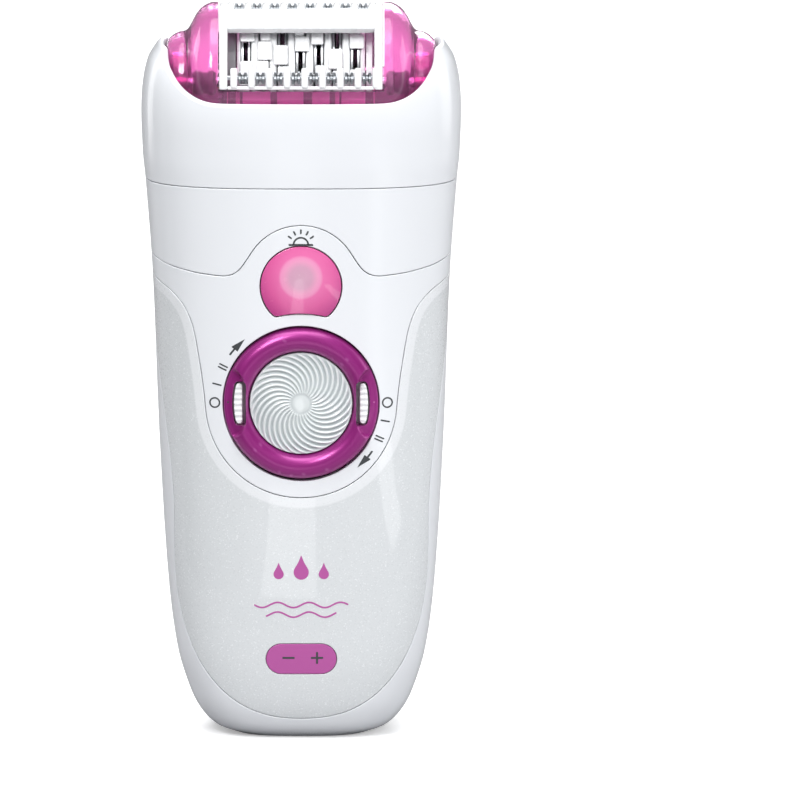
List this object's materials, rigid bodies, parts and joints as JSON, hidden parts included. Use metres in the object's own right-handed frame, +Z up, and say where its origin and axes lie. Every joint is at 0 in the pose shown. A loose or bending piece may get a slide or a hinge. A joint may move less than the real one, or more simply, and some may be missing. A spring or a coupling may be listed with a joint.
{
  "type": "cordless epilator",
  "caption": "Slim cordless epilator with a lift-off swivel head, tweezer drum, massage-roller cap and a round start switch with key locks.",
  "frame": {"origin": "centre of the base's underside, under the middle of the whole object", "axes": "+Z up the handle, -Y out of the front with the switch, +X to the right as seen from the front"},
  "size_m": [0.0652, 0.0406, 0.1499],
  "materials": {
    "white_shell": "glossy moulded",
    "pearl_window": "clear gloss over fine pearl flakes",
    "pink_clear": "clear tinted gloss",
    "pink_lens": "milky gloss",
    "purple_metal": "metallic lacquer",
    "clear_disc": "clear gloss with moulded swirls",
    "steel": "polished",
    "silver_rollers": "satin silver",
    "white_plastic": "satin",
    "grey_plastic": "satin",
    "black_rubber": "matte",
    "circuit_green": "lacquered board",
    "battery_wrap": "shrink film",
    "brass_pins": "bright",
    "led_white": "clear resin"
  },
  "bodies": {
    "handle": {"rear_housing": "white_shell", "front_shell": "white_shell", "tongue_panel": "white_shell", "window_panel": "pearl_window", "light_lens": "pink_lens", "light_led": "led_white", "charge_indicator": "pink_lens", "power_inlet": "black_rubber", "inlet_pin_left": "brass_pins", "inlet_pin_right": "brass_pins", "chassis": "white_plastic", "battery": "battery_wrap", "circuit_board": "circuit_green", "board_screw_1": "steel", "board_screw_2": "steel", "motor": "steel", "top_plate": "white_plastic", "spindle_seal": "black_rubber", "switch_seat": "black_rubber", "release_spring": "steel"},
    "motor_rotor": {"motor_pinion": "brass_pins"},
    "output_drive": {"output_gear": "white_plastic", "output_spindle": "steel"},
    "switch": {"switch_ring": "purple_metal", "switch_disc": "clear_disc", "switch_carrier": "grey_plastic"},
    "left_key": {"switch_key_left": "white_plastic"},
    "right_key": {"switch_key_right": "white_plastic"},
    "release": {"release_button": "white_shell"},
    "head": {"head_collar": "white_shell", "head_base": "white_plastic", "pivot_bush_left": "white_plastic", "pivot_bush_right": "white_plastic"},
    "head_drive": {"head_drive_shaft": "grey_plastic", "head_drive_pinion": "brass_pins"},
    "swivel": {"swivel_housing": "pink_clear", "guide_comb_front": "grey_plastic", "guide_comb_rear": "grey_plastic"},
    "drum": {"drum_axle": "steel", "drum_core": "white_plastic", "drum_gear": "grey_plastic", "drum_end_flange": "white_plastic", "fixed_tweezer_disc_1": "steel", "fixed_tweezer_disc_2": "steel", "fixed_tweezer_disc_3": "steel", "fixed_tweezer_disc_4": "steel", "fixed_tweezer_disc_5": "steel", "fixed_tweezer_disc_6": "steel", "fixed_tweezer_disc_7": "steel"},
    "tweezer_clamp": {"clamp_tweezer_disc_1": "steel", "clamp_tweezer_disc_2": "steel", "clamp_tweezer_disc_3": "steel", "clamp_tweezer_disc_4": "steel", "clamp_tweezer_disc_5": "steel", "clamp_tweezer_disc_6": "steel", "clamp_tweezer_disc_7": "steel"},
    "cap": {"cap_frame": "white_shell"},
    "front_rollers": {"front_roller_bar": "silver_rollers"},
    "rear_rollers": {"rear_roller_bar": "silver_rollers"}
  },
  "joints": [
    {"name": "head_lift", "type": "slide", "parent": "handle", "child": "head", "axis": [0, 0, 1], "range_m": [0, 0.02]},
    {"name": "head_swivel", "type": "hinge", "parent": "head", "child": "swivel", "pos_m": [0, 0, 0.1333], "axis": [1, 0, 0], "range_deg": [-15, 15], "stiffness_Nm_per_rad": 0.06},
    {"name": "drum_spin", "type": "hinge", "parent": "head", "child": "drum", "pos_m": [0, 0, 0.1333], "axis": [1, 0, 0], "continuous": true},
    {"name": "tweezers_close", "type": "slide", "parent": "drum", "child": "tweezer_clamp", "axis": [-1, 0, 0], "range_m": [0, 0.0004], "stiffness_N_per_m": 600},
    {"name": "head_drive_spin", "type": "hinge", "parent": "head", "child": "head_drive", "pos_m": [-0.019, 0, 0.1149], "axis": [0, 0, 1], "continuous": true},
    {"name": "output_spin", "type": "hinge", "parent": "handle", "child": "output_drive", "pos_m": [-0.019, 0, 0.1068], "axis": [0, 0, 1], "continuous": true},
    {"name": "motor_spin", "type": "hinge", "parent": "handle", "child": "motor_rotor", "pos_m": [-0.008, 0, 0.1068], "axis": [0, 0, 1], "continuous": true},
    {"name": "cap_lift", "type": "slide", "parent": "swivel", "child": "cap", "axis": [0, 0, 1], "range_m": [0, 0.02]},
    {"name": "front_rollers_spin", "type": "hinge", "parent": "cap", "child": "front_rollers", "pos_m": [0, -0.01471, 0.1367], "axis": [1, 0, 0], "continuous": true},
    {"name": "rear_rollers_spin", "type": "hinge", "parent": "cap", "child": "rear_rollers", "pos_m": [0, 0.00262, 0.14817], "axis": [1, 0, 0], "continuous": true},
    {"name": "switch_turn", "type": "hinge", "parent": "handle", "child": "switch", "pos_m": [0, 0, 0.0703], "axis": [0, 1, 0], "range_deg": [0, 25]},
    {"name": "left_key_press", "type": "slide", "parent": "switch", "child": "left_key", "axis": [1, 0, 0], "range_m": [0, 0.0005], "stiffness_N_per_m": 400},
    {"name": "right_key_press", "type": "slide", "parent": "switch", "child": "right_key", "axis": [-1, 0, 0], "range_m": [0, 0.0005], "stiffness_N_per_m": 400},
    {"name": "release_press", "type": "slide", "parent": "handle", "child": "release", "axis": [0, -1, 0], "range_m": [0, 0.0012], "stiffness_N_per_m": 600, "deforming": ["release_spring"]}
  ],
  "couplings": [
    {"joint": "head_drive_spin", "follows": "drum_spin", "ratio": 3.8},
    {"joint": "output_spin", "follows": "drum_spin", "ratio": 3.8},
    {"joint": "motor_spin", "follows": "drum_spin", "ratio": -8.1429}
  ]
}
